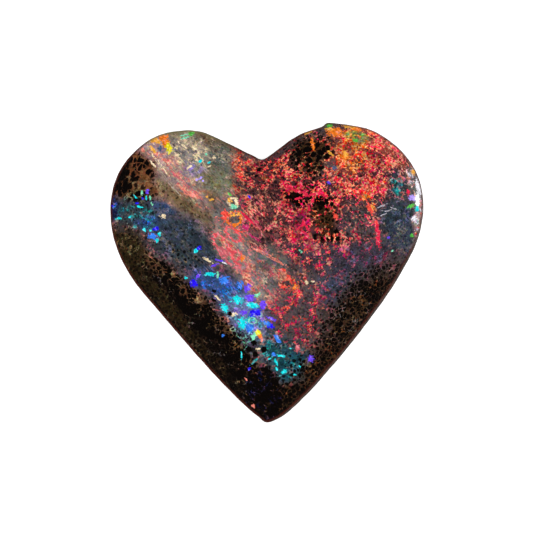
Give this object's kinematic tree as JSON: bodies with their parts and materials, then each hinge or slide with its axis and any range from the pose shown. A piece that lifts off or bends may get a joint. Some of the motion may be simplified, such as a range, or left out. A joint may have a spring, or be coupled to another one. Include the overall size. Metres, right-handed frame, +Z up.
{
  "type": "heart-shaped polished boulder opal",
  "caption": "Heart-shaped polished cabochon of boulder opal in dark ironstone, with a low dome, a thin girdle and a flat ground back.",
  "frame": {"origin": "on the flat back that the stone rests on, under the middle of the outline's box", "axes": "+Z up through the crown of the dome, +X across the two lobes, +Y from the point to the lobes"},
  "size_m": [0.03, 0.0286, 0.0052],
  "materials": {
    "opal_in_ironstone": "polished dome with play-of-colour in a dark ironstone matrix, plain ground ironstone wall and back"
  },
  "bodies": {
    "root": {"opal_stone": "opal_in_ironstone"}
  },
  "joints": []
}
